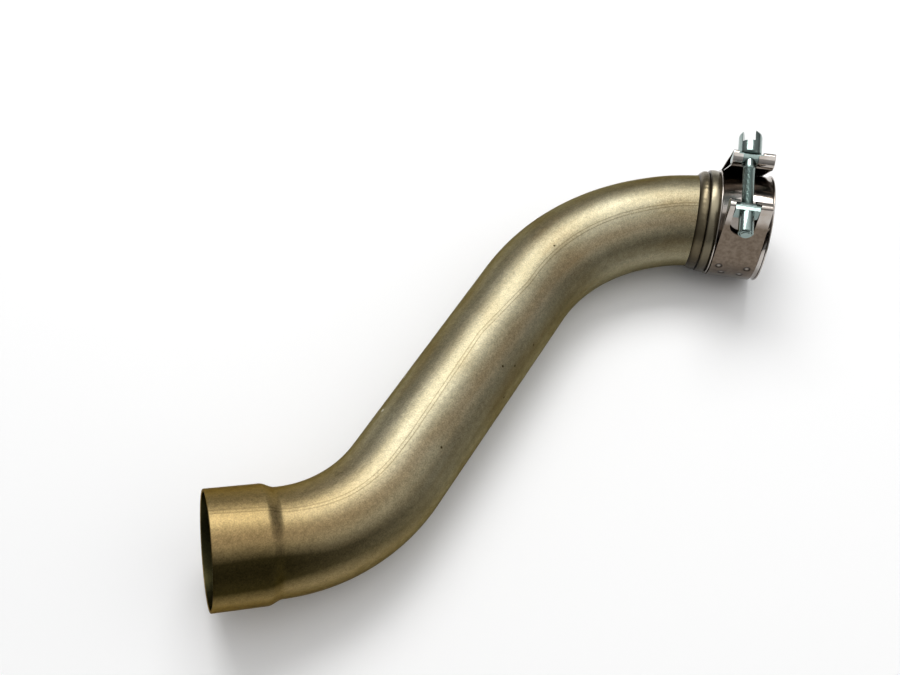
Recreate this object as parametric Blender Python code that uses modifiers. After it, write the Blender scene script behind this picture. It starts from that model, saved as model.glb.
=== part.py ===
"""A bent link pipe for an exhaust, with a band clamp on its outlet collar.

Everything is in metres with +Z up.  The pipe is drawn from the centre of its open
socket, heading along +X, and the finished assembly is then laid down as it would
come to rest on a flat surface.
"""

import math

import bmesh
import bpy
import numpy as np
from mathutils import Matrix, Vector

MM = 0.001
SEAT = 0.3 * MM  # clearance between two pieces that touch
PAST = 5.0 * MM  # how far a cutter reaches past what it cuts
MERGE = 0.01 * MM

# Pipe, from the socket end to the outlet end
TUBE_RADIUS = 25.0 * MM
TUBE_WALL = 1.2 * MM
SOCKET_RADIUS = 27.2 * MM
SOCKET_LENGTH = 24.6 * MM
SOCKET_TAPER = 7.2 * MM
BEND_ONE_RADIUS = 80.0 * MM
BEND_ONE_TURN = (47.0, -17.3)  # angle, roll of the bend plane
MIDDLE_LEG = 125.5 * MM
BEND_TWO_RADIUS = 100.0 * MM
BEND_TWO_TURN = (49.1, 155.8)
SHORT_LEG = 3.2 * MM
BEND_THREE_RADIUS = 94.0 * MM
BEND_THREE_TURN = (10.3, 15.0)
TAIL = 11.2 * MM  # straight tube up to the mitred joint with the collar
MITRE_TURN = (9.0, -8.5)  # angle between tube and collar, roll of its plane
TUBE_SIDES = 40
BEND_STEP = 4.95  # degrees of bend for each ring

# Collar and weld; distances run along the outlet axis from the start of the weld
WELD_WIDTH = 5.3 * MM
WELD_HEIGHT = 2.0 * MM
WELD_TOE = 0.9 * MM  # the bead's edge over the tube
WELD_CREST = 105.0  # degrees of the bead's round, past its crest
COLLAR_STEP = 2.1 * MM  # clamped length over the tube
COLLAR_RADIUS = TUBE_RADIUS + COLLAR_STEP
COLLAR_WALL = 1.5 * MM
COLLAR_START = WELD_WIDTH + SEAT
COLLAR_END = 39.2 * MM
SHOULDER_RISE = 1.2 * MM  # rounded shoulder between weld and clamp
SHOULDER_LENGTH = 5.3 * MM
SHOULDER_FULLNESS = 0.6  # under one rounds the shoulder out
HOLLOW_SHARES = (0.45, 0.6, 0.9)  # the hollow under it, as shares of its length
NECK_LENGTH = 1.4 * MM
SLIT_WIDTH = 2.0 * MM
SLIT_LENGTH = 20.0 * MM
RING_SIDES = 64

# Clamp liner: the inner band with its edges rolled outwards
LINER_START = 11.2 * MM
LINER_WIDTH = 28.0 * MM
LINER_SHEET = 0.7 * MM
LINER_RADIUS = COLLAR_RADIUS + SEAT
LINER_EDGE = 0.9 * MM  # height of the rolled edge over the band
LINER_EDGE_WIDTH = 0.9 * MM
LINER_SOFT = 0.3 * MM
LINER_GAP = 4.0 * MM

# Clamp strap with its two loops
STRAP_MIDDLE = 24.1 * MM
STRAP_SHEET = 0.8 * MM
STRAP_WIDTH = 23.4 * MM
LOOP_WIDTH = 21.8 * MM
STRAP_RADIUS = LINER_RADIUS + LINER_SHEET + SEAT + STRAP_SHEET / 2
BOLT_RISE = 10.3 * MM  # bolt axis over the strap
BOLT_HEIGHT = STRAP_RADIUS + BOLT_RISE
LOOP_SPREAD = 16.3 * MM  # each loop from the middle of the clamp
CORNER_RADIUS = 1.2 * MM
CORNER_BACK = 0.3 * MM  # the corner's centre, back from the pin's flat
RETURN_END = 21.0  # degrees, where the folded tab ends on the liner
NARROW_SLOT = 8.2 * MM
WIDE_SLOT = 13.0 * MM
SLOT_REACH = 15.5 * MM  # wide slot, down the ramp from the bolt axis
SLOT_INSIDE = 1.9 * MM  # how deep the wide slot's cutter goes under the ramp
SPOT_LEVELS = (4.5, -8.5)  # degrees towards the bolt
SPOT_SPREAD_UPPER = 7.5 * MM  # half the spacing of a pair
SPOT_SPREAD_LOWER = 4.9 * MM
SPOT_RADIUS = 1.7 * MM
SPOT_DEPTH = 0.3 * MM
SPOT_SIDES = 12
SLOT_TALL = 30.0 * MM  # height of a slot's cutter over its round foot
RING_STEPS = 26
RAMP_STEPS = 4
CORNER_STEPS = 4
LOOP_STEPS = 12
TAB_STEPS = 3

# Trunnions, bolt and nut
PIN_RADIUS = 3.8 * MM
PIN_FLAT = 0.5 * MM  # flat face, outwards from the pin's centre
PIN_SIDES = 32
BOLT_OFFSET = -1.7 * MM
BOLT_RADIUS = 3.0 * MM
BOLT_HOLE = 3.3 * MM
HEAD_RADIUS = 6.1 * MM
HEAD_HEIGHT = 15.4 * MM
HEAD_SHOULDER = 3.4 * MM
HEAD_SLOT_WIDTH = 6.4 * MM
HEAD_SLOT_DEPTH = 8.2 * MM
HEAD_SLOT_TURN = -19.0  # turned about the bolt
BOLT_CHAMFER = 0.6 * MM
NUT_FLANGE_WIDTH = 12.4 * MM
NUT_FLANGE_HEIGHT = 8.0 * MM
NUT_FLANGE_THICKNESS = 2.0 * MM
NUT_CHAMFER = 0.3 * MM
NUT_NECK_RADIUS = 3.9 * MM
NUT_LENGTH = 14.0 * MM
BOLT_TIP = 1.0 * MM  # bolt past the nut
BOLT_SIDES = 36

# Where the clamp's bolt faces, and how the assembly lies (degrees)
CLAMP_TURN = -87.6
LIE_TURNS = (-59.2, 14.1, -26.4)


def clear_scene():
    for thing in list(bpy.data.objects):
        bpy.data.objects.remove(thing, do_unlink=True)
    for old in list(bpy.data.collections):
        bpy.data.collections.remove(old)


def add_collection(name):
    group = bpy.data.collections.new(name)
    bpy.context.scene.collection.children.link(group)
    return group


def add_material(name, colour, metallic, roughness):
    material = bpy.data.materials.new(name)
    material.use_nodes = True
    shader = material.node_tree.nodes["Principled BSDF"]
    shader.inputs["Base Color"].default_value = (*colour, 1.0)
    shader.inputs["Metallic"].default_value = metallic
    shader.inputs["Roughness"].default_value = roughness
    return material


def add_object(name, mesh, group):
    made = bpy.data.objects.new(name, mesh)
    group.objects.link(made)
    return made


def close_mesh(work, mesh):
    """Turn the normals outwards and store the mesh."""
    bmesh.ops.recalc_face_normals(work, faces=work.faces)
    work.to_mesh(mesh)
    work.free()


def apply_modifiers(made):
    """Keep the evaluated shape, with its normals outwards."""
    bpy.context.view_layer.update()
    evaluated = made.evaluated_get(bpy.context.evaluated_depsgraph_get())
    mesh = bpy.data.meshes.new_from_object(evaluated)
    made.modifiers.clear()
    made.data = mesh
    work = bmesh.new()
    work.from_mesh(mesh)
    close_mesh(work, mesh)


def cut(made, cutter, operation="DIFFERENCE"):
    """Take a cutter out of an object, and keep the cutter as a hidden wire."""
    step = made.modifiers.new("cut", "BOOLEAN")
    step.operation = operation
    step.solver = "EXACT"
    step.object = cutter
    apply_modifiers(made)
    cutter.hide_render = True
    cutter.display_type = "WIRE"


def box(name, low, high, group, place=None):
    """A box between two corners, turned by the matrix place."""
    mesh = bpy.data.meshes.new(name)
    work = bmesh.new()
    size = Vector(high) - Vector(low)
    middle = (Vector(high) + Vector(low)) / 2
    bmesh.ops.create_cube(work, size=1.0, matrix=Matrix.Translation(middle) @ Matrix.Diagonal((*size, 1.0)))
    if place is not None:
        bmesh.ops.transform(work, matrix=place, verts=work.verts)
    close_mesh(work, mesh)
    return add_object(name, mesh, group)


def cylinder(name, radius, length, sides, group, place):
    """A cylinder centred on its own Z, turned by the matrix place."""
    mesh = bpy.data.meshes.new(name)
    work = bmesh.new()
    bmesh.ops.create_cone(
        work, cap_ends=True, segments=sides, radius1=radius, radius2=radius, depth=length, matrix=place
    )
    close_mesh(work, mesh)
    return add_object(name, mesh, group)


def turned(name, profile, sides, group, place):
    """Turn a profile of (radius, height) about Z.  It runs down its outer side."""
    mesh = bpy.data.meshes.new(name)
    count = len(profile)
    closed = min(radius for radius, _ in profile) > 0
    edges = [(k, k + 1) for k in range(count - 1)]
    if closed:
        edges.append((count - 1, 0))
    mesh.from_pydata([(radius, 0.0, height) for radius, height in profile], edges, [])
    made = add_object(name, mesh, group)
    screw = made.modifiers.new("turn", "SCREW")
    screw.axis = "Z"
    screw.angle = 2 * math.pi
    screw.steps = sides
    screw.render_steps = sides
    screw.use_merge_vertices = True
    screw.merge_threshold = MERGE
    apply_modifiers(made)
    made.data.transform(place)
    return made


def pipe_stations():
    """Frames along the pipe's centre line: (radius there, matrix with X ahead)."""
    here = Matrix.Identity(4)
    stations = [(SOCKET_RADIUS, here)]
    taper_steps = 4
    for k in range(taper_steps + 1):
        share = k / taper_steps
        ease = (1 + math.cos(math.pi * share)) / 2
        radius = TUBE_RADIUS + (SOCKET_RADIUS - TUBE_RADIUS) * ease
        ahead = Matrix.Translation((SOCKET_LENGTH + SOCKET_TAPER * share, 0, 0))
        stations.append((radius, here @ ahead))
    here = stations[-1][1]
    run = (
        (BEND_ONE_RADIUS, BEND_ONE_TURN, MIDDLE_LEG),
        (BEND_TWO_RADIUS, BEND_TWO_TURN, SHORT_LEG),
        (BEND_THREE_RADIUS, BEND_THREE_TURN, TAIL + PAST),
    )
    for bend_radius, (angle, roll), leg in run:
        start = here @ Matrix.Rotation(math.radians(roll), 4, "X")
        steps = round(angle / BEND_STEP)
        for k in range(1, steps + 1):
            turn = math.radians(angle) * k / steps
            place = Matrix.Translation((bend_radius * math.sin(turn), 0, bend_radius * (1 - math.cos(turn))))
            here = start @ place @ Matrix.Rotation(-turn, 4, "Y")
            stations.append((TUBE_RADIUS, here))
        here = here @ Matrix.Translation((leg, 0, 0))
        stations.append((TUBE_RADIUS, here))
    return stations


def make_tube(group, cutters):
    """Sweep a circle along the centre line, give the skin its wall, and mitre the outlet end."""
    stations = pipe_stations()
    curve = bpy.data.curves.new("pipe_tube", "CURVE")
    curve.dimensions = "3D"
    curve.twist_mode = "MINIMUM"
    curve.bevel_depth = TUBE_RADIUS
    curve.bevel_resolution = TUBE_SIDES // 2 - 2
    curve.use_fill_caps = False
    spline = curve.splines.new("POLY")
    spline.points.add(len(stations) - 1)
    for point, (radius, place) in zip(spline.points, stations):
        point.co = (*place.translation, 1.0)
        point.radius = radius / TUBE_RADIUS
    swept = add_object("pipe_sweep", curve, group)
    bpy.context.view_layer.update()
    evaluated = swept.evaluated_get(bpy.context.evaluated_depsgraph_get())
    mesh = bpy.data.meshes.new_from_object(evaluated)
    bpy.data.objects.remove(swept, do_unlink=True)
    tube = add_object("pipe_tube", mesh, group)
    weld = tube.modifiers.new("weld", "WELD")
    weld.merge_threshold = MERGE
    wall = tube.modifiers.new("wall", "SOLIDIFY")
    wall.thickness = TUBE_WALL
    wall.offset = -1.0
    wall.use_even_offset = True
    apply_modifiers(tube)
    angle, roll = (math.radians(turn) for turn in MITRE_TURN)
    joint = (
        stations[-1][1]
        @ Matrix.Translation((-PAST, 0, 0))
        @ Matrix.Rotation(roll, 4, "X")
        @ Matrix.Rotation(-angle, 4, "Y")
    )
    reach = TUBE_RADIUS + PAST
    waste = box("mitre_cutter", (-SEAT, -reach, -reach), (reach, reach, reach), cutters, joint)
    cut(tube, waste)
    return tube, joint @ Matrix.Translation((-COLLAR_START, 0, 0))


def make_weld_bead(group, cutters, outlet, outlet_ahead):
    """A fillet bead round the mitred joint, bored out along the tube's own axis."""
    inner = TUBE_RADIUS - WELD_HEIGHT
    steps = 6
    profile = []
    for k in range(steps + 1):
        share = 1 - k / steps
        rise = math.sin(math.radians(WELD_CREST) * share)
        profile.append((TUBE_RADIUS + WELD_TOE + (WELD_HEIGHT - WELD_TOE) * rise, WELD_WIDTH * share))
    profile += [(inner, 0.0), (inner, WELD_WIDTH)]
    bead = turned("weld_bead", profile, RING_SIDES, group, outlet)
    angle, roll = (math.radians(turn) for turn in MITRE_TURN)
    along_tube = (
        outlet_ahead
        @ Matrix.Translation((COLLAR_START, 0, 0))
        @ Matrix.Rotation(angle, 4, "Y")
        @ Matrix.Rotation(math.radians(90), 4, "Y")
    )
    bore = cylinder("weld_bore", TUBE_RADIUS + SEAT, TUBE_RADIUS, RING_SIDES, cutters, along_tube)
    cut(bead, bore)
    return bead


def make_collar(group, outlet):
    """The outlet sleeve: its neck meets the tube's end and its slit end takes the clamp."""
    neck = TUBE_RADIUS - TUBE_WALL
    bore = COLLAR_RADIUS - COLLAR_WALL
    profile = [(COLLAR_RADIUS, COLLAR_END)]
    steps = 10
    for k in range(steps + 1):
        turn = math.pi * k / steps
        bulge = max(math.sin(turn), 0.0) ** SHOULDER_FULLNESS
        along = SHOULDER_LENGTH * (1 + math.cos(turn)) / 2
        profile.append((COLLAR_RADIUS + SHOULDER_RISE * bulge, COLLAR_START + along))
    hollow = COLLAR_RADIUS + SHOULDER_RISE - COLLAR_WALL
    wide, narrowing, narrow = (COLLAR_START + SHOULDER_LENGTH * share for share in HOLLOW_SHARES)
    profile += [
        (neck, COLLAR_START),
        (neck, COLLAR_START + NECK_LENGTH),
        (hollow, wide),
        (hollow, narrowing),
        (bore, narrow),
        (bore, COLLAR_END),
    ]
    return turned("outlet_collar", profile, RING_SIDES, group, outlet)


def slit_collar(collar, cutters, clamp):
    """Two crossed plates leave four slits in the clamped end."""
    reach = COLLAR_RADIUS + PAST
    for number in range(2):
        plate = box(
            f"slit_cutter_{number + 1}",
            (COLLAR_END - SLIT_LENGTH, -SLIT_WIDTH / 2, -reach),
            (COLLAR_END + PAST, SLIT_WIDTH / 2, reach),
            cutters,
            clamp @ Matrix.Rotation(math.radians(45 + 90 * number), 4, "X"),
        )
        cut(collar, plate)


def make_liner(group, cutters, outlet, clamp):
    """The inner band with rolled edges, split at the side away from the bolt."""
    low, high = LINER_START, LINER_START + LINER_WIDTH
    inner = LINER_RADIUS
    floor = LINER_RADIUS + LINER_SHEET
    top = floor + LINER_EDGE
    soft = LINER_SOFT
    edge = LINER_EDGE_WIDTH
    profile = [
        (top - soft, high),
        (top, high - soft),
        (top, high - edge + soft),
        (floor, high - edge),
        (floor, low + edge),
        (top, low + edge - soft),
        (top, low + soft),
        (top - soft, low),
        (inner + soft, low),
        (inner, low + soft),
        (inner, high - soft),
        (inner + soft, high),
    ]
    # the profile's heights run along the outlet axis
    liner = turned("clamp_liner", profile, RING_SIDES, group, outlet)
    split = box(
        "liner_split",
        (low - PAST, -LINER_GAP / 2, -top - PAST),
        (high + PAST, LINER_GAP / 2, -inner + PAST),
        cutters,
        clamp,
    )
    cut(liner, split)
    return liner


def polar(radius, degrees):
    turn = math.radians(degrees)
    return np.array((radius * math.cos(turn), radius * math.sin(turn)))


def arc(centre, radius, start, end, steps):
    """Points of an arc about centre, from one angle to another."""
    angles = np.linspace(start, end, steps + 1)
    return [np.array(centre) + polar(radius, angle) for angle in angles]


def strap_lines():
    """Angles at which the ramp and the folded tab touch the ring and the loop."""
    loop = np.array((LOOP_SPREAD, BOLT_HEIGHT))
    loop_radius = PIN_RADIUS + SEAT + STRAP_SHEET / 2
    corner = loop + np.array((PIN_FLAT - CORNER_BACK, loop_radius - CORNER_RADIUS))
    away = math.degrees(math.atan2(corner[1], corner[0]))
    lean = math.degrees(math.acos((STRAP_RADIUS - CORNER_RADIUS) / np.linalg.norm(corner)))
    ramp = away - lean
    away = math.degrees(math.atan2(loop[1], loop[0]))
    lean = math.degrees(math.acos((STRAP_RADIUS + loop_radius) / np.linalg.norm(loop)))
    tab = away - lean
    return loop, loop_radius, corner, ramp, tab


def strap_path():
    """Middle line of the sheet in the clamp's (Y, Z) plane, with its half width."""
    loop, loop_radius, corner, ramp, tab = strap_lines()
    half = []
    half += [(p, STRAP_WIDTH) for p in arc((0, 0), STRAP_RADIUS, -90, ramp, RING_STEPS)]
    base = polar(STRAP_RADIUS, ramp)
    top = corner + polar(CORNER_RADIUS, ramp)
    for k in range(1, RAMP_STEPS):
        share = k / RAMP_STEPS
        half.append((base + (top - base) * share, STRAP_WIDTH + (LOOP_WIDTH - STRAP_WIDTH) * share))
    half += [(p, LOOP_WIDTH) for p in arc(corner, CORNER_RADIUS, ramp, 90, CORNER_STEPS)]
    half += [(p, LOOP_WIDTH) for p in arc(loop, loop_radius, 90, 180 + tab, LOOP_STEPS)]
    half += [(p, LOOP_WIDTH) for p in arc((0, 0), STRAP_RADIUS, tab, RETURN_END, TAB_STEPS)]
    mirrored = [(np.array((-p[0], p[1])), width) for p, width in half[:0:-1]]
    return mirrored + half


def make_strap(group, clamp):
    """Loft a flat section along the folded path of the strap."""
    path = strap_path()
    points = np.array([p for p, _ in path])
    half_width = np.array([width for _, width in path]) / 2
    ahead = np.gradient(points, axis=0)
    first = points[1:] - points[:-1]
    first /= np.linalg.norm(first, axis=1)[:, None]
    ahead[0], ahead[-1] = first[0], first[-1]
    ahead[1:-1] = first[:-1] + first[1:]
    ahead /= np.linalg.norm(ahead, axis=1)[:, None]
    side = np.stack((ahead[:, 1], -ahead[:, 0]), axis=1)
    mitre = np.ones(len(points))
    mitre[1:-1] = 1 / (first[1:] * ahead[1:-1]).sum(axis=1)
    offset = side * (mitre * STRAP_SHEET / 2)[:, None]
    work = bmesh.new()
    sections = []
    for point, shift, width in zip(points, offset, half_width):
        corners = []
        for across, sign in ((-1, -1), (1, -1), (1, 1), (-1, 1)):
            y, z = point + shift * sign
            corners.append(work.verts.new((STRAP_MIDDLE + across * width, y, z)))
        sections.append(corners)
    for here, after in zip(sections[:-1], sections[1:]):
        for k in range(4):
            work.faces.new((here[k], here[(k + 1) % 4], after[(k + 1) % 4], after[k]))
    work.faces.new(sections[0])
    work.faces.new(sections[-1][::-1])
    mesh = bpy.data.meshes.new("clamp_strap")
    close_mesh(work, mesh)
    mesh.transform(clamp)
    return add_object("clamp_strap", mesh, group)


def slot_strap(strap, cutters, clamp):
    """Cut the bolt's slots through both loops, and press the spot welds."""
    loop, loop_radius, _, ramp, _ = strap_lines()
    outer = loop_radius + STRAP_SHEET
    middle = STRAP_MIDDLE + BOLT_OFFSET
    # height of the bolt's axis measured up the ramp
    bolt_level = loop[1] * math.cos(math.radians(ramp)) - loop[0] * math.sin(math.radians(ramp))
    for side, label in ((1, "head"), (-1, "nut")):
        flip = clamp @ Matrix.Diagonal((1, side, 1, 1))
        narrow = keyhole(
            f"slot_{label}_narrow",
            NARROW_SLOT,
            outer + PAST,
            cutters,
            flip @ Matrix.Translation((middle, loop[0] + PIN_FLAT - outer - PAST, loop[1])),
        )
        wide = keyhole(
            f"slot_{label}_wide",
            WIDE_SLOT,
            SLOT_INSIDE + PAST,
            cutters,
            flip
            @ Matrix.Rotation(math.radians(ramp), 4, "X")
            @ Matrix.Translation(
                (middle, STRAP_RADIUS - SLOT_INSIDE, bolt_level - SLOT_REACH + WIDE_SLOT / 2)
            ),
        )
        for cutter in (narrow, wide):
            cut(strap, cutter)
        for row, (level, spacing) in enumerate(zip(SPOT_LEVELS, (SPOT_SPREAD_UPPER, SPOT_SPREAD_LOWER))):
            for across in (-1, 1):
                press(strap, cutters, flip, f"spot_{label}_{row}_{across + 1}", level, across * spacing)


def keyhole(name, width, depth, group, place):
    """A slot cutter: round at its foot, straight above, run along Y from 0 to depth."""
    radius = width / 2
    steps = 14
    outline = [(radius, SLOT_TALL)]
    for k in range(steps + 1):
        turn = -math.pi * k / steps
        outline.append((radius * math.cos(turn), radius * math.sin(turn)))
    outline.append((-radius, SLOT_TALL))
    work = bmesh.new()
    face = work.faces.new([work.verts.new((x, 0.0, z)) for x, z in outline])
    grown = bmesh.ops.extrude_face_region(work, geom=[face])
    far = [item for item in grown["geom"] if isinstance(item, bmesh.types.BMVert)]
    bmesh.ops.translate(work, verts=far, vec=(0.0, depth, 0.0))
    bmesh.ops.transform(work, matrix=place, verts=work.verts)
    mesh = bpy.data.meshes.new(name)
    close_mesh(work, mesh)
    return add_object(name, mesh, group)


def press(strap, cutters, flip, name, level, across):
    """One shallow round dimple in the strap's outer face."""
    ball = (SPOT_RADIUS**2 + SPOT_DEPTH**2) / (2 * SPOT_DEPTH)
    face = STRAP_RADIUS + STRAP_SHEET / 2
    mesh = bpy.data.meshes.new(name)
    work = bmesh.new()
    place = (
        flip
        @ Matrix.Rotation(math.radians(level), 4, "X")
        @ Matrix.Translation((STRAP_MIDDLE + across, face + ball - SPOT_DEPTH, 0))
        @ Matrix.Rotation(math.radians(90), 4, "X")
    )
    bmesh.ops.create_uvsphere(work, u_segments=SPOT_SIDES, v_segments=SPOT_SIDES, radius=ball, matrix=place)
    close_mesh(work, mesh)
    cut(strap, add_object(name, mesh, cutters))


def make_pin(name, side, group, cutters, clamp):
    """A half-round trunnion with the bolt's hole through it."""
    flip = clamp @ Matrix.Diagonal((1, side, 1, 1))
    place = flip @ Matrix.Translation((STRAP_MIDDLE, LOOP_SPREAD, BOLT_HEIGHT))
    lengthwise = Matrix.Rotation(math.radians(90), 4, "Y")
    pin = cylinder(name, PIN_RADIUS, LOOP_WIDTH, PIN_SIDES, group, place @ lengthwise)
    reach = PIN_RADIUS + PAST
    flat = box(f"{name}_flat", (-LOOP_WIDTH, PIN_FLAT, -reach), (LOOP_WIDTH, reach, reach), cutters, place)
    cut(pin, flat)
    drill = cylinder(
        f"{name}_drill",
        BOLT_HOLE,
        2 * reach,
        PIN_SIDES,
        cutters,
        place @ Matrix.Translation((BOLT_OFFSET, 0, 0)) @ Matrix.Rotation(math.radians(90), 4, "X"),
    )
    cut(pin, drill)
    return pin


def bolt_frame(clamp):
    """Z along the bolt towards its head, origin level with the pipe's axis."""
    middle = Matrix.Translation((STRAP_MIDDLE + BOLT_OFFSET, 0, BOLT_HEIGHT))
    return clamp @ middle @ Matrix.Rotation(math.radians(-90), 4, "X")


def make_bolt(group, cutters, clamp):
    """Shank and round-shouldered head turned in one, with the driving slot cut."""
    seat = LOOP_SPREAD + PIN_FLAT + SEAT
    top = seat + HEAD_HEIGHT
    tip = -seat - NUT_LENGTH - BOLT_TIP
    shoulder = []
    steps = 5
    for k in range(steps + 1):
        turn = math.radians(90 - 90 * k / steps)
        shoulder.append(
            (
                HEAD_RADIUS - HEAD_SHOULDER + HEAD_SHOULDER * math.cos(turn),
                top - HEAD_SHOULDER + HEAD_SHOULDER * math.sin(turn),
            )
        )
    under = HEAD_RADIUS - BOLT_CHAMFER
    profile = [(0.0, top), *shoulder]
    profile += [(HEAD_RADIUS, seat + BOLT_CHAMFER), (under, seat), (BOLT_RADIUS, seat)]
    profile += [(BOLT_RADIUS, tip + BOLT_CHAMFER), (BOLT_RADIUS - BOLT_CHAMFER, tip), (0.0, tip)]
    frame = bolt_frame(clamp)
    bolt = turned("clamp_bolt", profile, BOLT_SIDES, group, frame)
    slot = box(
        "bolt_slot",
        (-HEAD_SLOT_WIDTH / 2, -HEAD_RADIUS - PAST, top - HEAD_SLOT_DEPTH),
        (HEAD_SLOT_WIDTH / 2, HEAD_RADIUS + PAST, top + PAST),
        cutters,
        frame @ Matrix.Rotation(math.radians(HEAD_SLOT_TURN), 4, "Z"),
    )
    cut(bolt, slot)
    return bolt


def make_nut(group, cutters, clamp):
    """A threaded sleeve with a rectangular flange that bears on the trunnion."""
    seat = -(LOOP_SPREAD + PIN_FLAT + SEAT)
    frame = bolt_frame(clamp)
    wide, high = NUT_FLANGE_WIDTH / 2, NUT_FLANGE_HEIGHT / 2
    root = seat - NUT_FLANGE_THICKNESS
    flange = box("clamp_nut", (-wide, -high, root), (wide, high, seat), group, frame)
    middle = seat - NUT_FLANGE_THICKNESS / 2
    end = seat - NUT_LENGTH
    neck = turned(
        "nut_neck",
        [
            (0.0, middle),
            (NUT_NECK_RADIUS, middle),
            (NUT_NECK_RADIUS, end + NUT_CHAMFER),
            (NUT_NECK_RADIUS - NUT_CHAMFER, end),
            (0.0, end),
        ],
        BOLT_SIDES,
        cutters,
        frame,
    )
    cut(flange, neck, "UNION")
    length = NUT_LENGTH + 2 * PAST
    drill = cylinder(
        "nut_drill",
        BOLT_HOLE,
        length,
        BOLT_SIDES,
        cutters,
        frame @ Matrix.Translation((0, 0, seat - NUT_LENGTH / 2)),
    )
    cut(flange, drill)
    return flange


def lay_down(pieces, cutters):
    """Turn the assembly to its resting pose and put it on the ground, centred."""
    x, y, z = (math.radians(turn) for turn in LIE_TURNS)
    lie = Matrix.Rotation(z, 4, "Z") @ Matrix.Rotation(y, 4, "Y") @ Matrix.Rotation(x, 4, "X")
    everything = [*pieces, *cutters.objects]
    for piece in everything:
        piece.data.transform(lie)
    corners = []
    for piece in pieces:
        points = np.empty(len(piece.data.vertices) * 3)
        piece.data.vertices.foreach_get("co", points)
        corners.append(points.reshape(-1, 3))
    corners = np.concatenate(corners)
    low, high = corners.min(axis=0), corners.max(axis=0)
    shift = Matrix.Translation((-(low[0] + high[0]) / 2, -(low[1] + high[1]) / 2, -low[2]))
    for piece in everything:
        piece.data.transform(shift)
        piece.data.update()


def main():
    clear_scene()
    parts = add_collection("exhaust_link_pipe")
    cutters = add_collection("cutters")
    tube, outlet_ahead = make_tube(parts, cutters)
    outlet = outlet_ahead @ Matrix.Rotation(math.radians(90), 4, "Y")
    clamp = outlet_ahead @ Matrix.Rotation(math.radians(CLAMP_TURN), 4, "X")
    weld = make_weld_bead(parts, cutters, outlet, outlet_ahead)
    collar = make_collar(parts, outlet)
    slit_collar(collar, cutters, clamp)
    liner = make_liner(parts, cutters, outlet, clamp)
    strap = make_strap(parts, clamp)
    slot_strap(strap, cutters, clamp)
    head_pin = make_pin("trunnion_head_side", 1, parts, cutters, clamp)
    nut_pin = make_pin("trunnion_nut_side", -1, parts, cutters, clamp)
    bolt = make_bolt(parts, cutters, clamp)
    nut = make_nut(parts, cutters, clamp)
    pieces = [tube, weld, collar, liner, strap, head_pin, nut_pin, bolt, nut]
    lay_down(pieces, cutters)

    heat_tinted = add_material("heat_tinted_stainless", (0.42, 0.36, 0.22), 1.0, 0.38)
    welded = add_material("weld_metal", (0.30, 0.27, 0.20), 1.0, 0.50)
    plain = add_material("brushed_stainless", (0.40, 0.38, 0.32), 1.0, 0.40)
    polished = add_material("polished_stainless", (0.62, 0.60, 0.57), 1.0, 0.12)
    zinc = add_material("zinc_plated_steel", (0.45, 0.52, 0.50), 1.0, 0.30)
    for piece, material in zip(
        pieces, (heat_tinted, welded, plain, polished, polished, zinc, zinc, zinc, zinc)
    ):
        piece.data.materials.clear()
        piece.data.materials.append(material)


main()
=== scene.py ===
"""Looks for a bent exhaust link pipe with a bolted band clamp, built over its CAD frame.

The pipe is drawn in its own frame, from the centre of the open socket along +X, in
millimetres, and place() lays it down where the CAD model lies.  The clamp has a frame of
its own: along the outlet, towards the bolt's head, and outwards to the bolt.
"""

import math

import bmesh
import bpy
import numpy as np
from mathutils import Matrix, Vector


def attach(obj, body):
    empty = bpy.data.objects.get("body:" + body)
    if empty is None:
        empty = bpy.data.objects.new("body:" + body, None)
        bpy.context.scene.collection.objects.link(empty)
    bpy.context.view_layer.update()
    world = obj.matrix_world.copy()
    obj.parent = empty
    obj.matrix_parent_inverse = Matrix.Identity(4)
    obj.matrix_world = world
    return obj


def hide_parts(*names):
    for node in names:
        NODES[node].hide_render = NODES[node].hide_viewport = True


bl_info = {
    "name": "Exhaust link pipe",
    "version": (1, 0, 0),
    "blender": (4, 5, 0),
    "location": "3D View > Sidebar > Link pipe",
    "description": "Builds the visible surfaces, finishes and studio of a bent link pipe with a band clamp",
    "category": "Object",
}

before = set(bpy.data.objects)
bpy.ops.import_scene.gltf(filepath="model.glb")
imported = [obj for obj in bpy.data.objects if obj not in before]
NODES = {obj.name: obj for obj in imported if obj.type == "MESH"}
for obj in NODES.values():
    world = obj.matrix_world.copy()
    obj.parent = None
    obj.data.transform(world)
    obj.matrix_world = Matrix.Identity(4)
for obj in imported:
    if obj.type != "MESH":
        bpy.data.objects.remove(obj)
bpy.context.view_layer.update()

# Sizes of the CAD model, in millimetres and degrees
SEAT = 0.3  # gap between pieces that touch
PAST = 5.0  # how far hidden ends and cutters run on
TUBE_RADIUS = 25.0
TUBE_WALL = 1.2
SOCKET_RADIUS = 27.2
SOCKET_LENGTH = 24.6
SOCKET_TAPER = 7.2
MIDDLE_LEG = 125.5
SHORT_LEG = 3.2
TAIL = 11.2
BENDS = ((80.0, 47.0, -17.3), (100.0, 49.1, 155.8), (94.0, 10.3, 15.0))  # radius, angle, roll
BELL = SOCKET_LENGTH + SOCKET_TAPER
LEGS = (BELL, MIDDLE_LEG, SHORT_LEG, TAIL + PAST)
MITRE_ANGLE = 9.0
MITRE_ROLL = -8.5
WELD_WIDTH = 5.3
COLLAR_START = WELD_WIDTH + SEAT
COLLAR_RADIUS = 27.1
LINER_START = 11.2
LINER_WIDTH = 28.0
LINER_SHEET = 0.7
LINER_RADIUS = COLLAR_RADIUS + SEAT
LINER_EDGE = 0.9
LINER_SOFT = 0.3
LINER_GAP = 4.0
STRAP_MIDDLE = 24.1
STRAP_SHEET = 0.8
STRAP_WIDTH = 23.4
LOOP_WIDTH = 21.8
STRAP_RADIUS = LINER_RADIUS + LINER_SHEET + SEAT + STRAP_SHEET / 2
BOLT_HEIGHT = STRAP_RADIUS + 10.3
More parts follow.
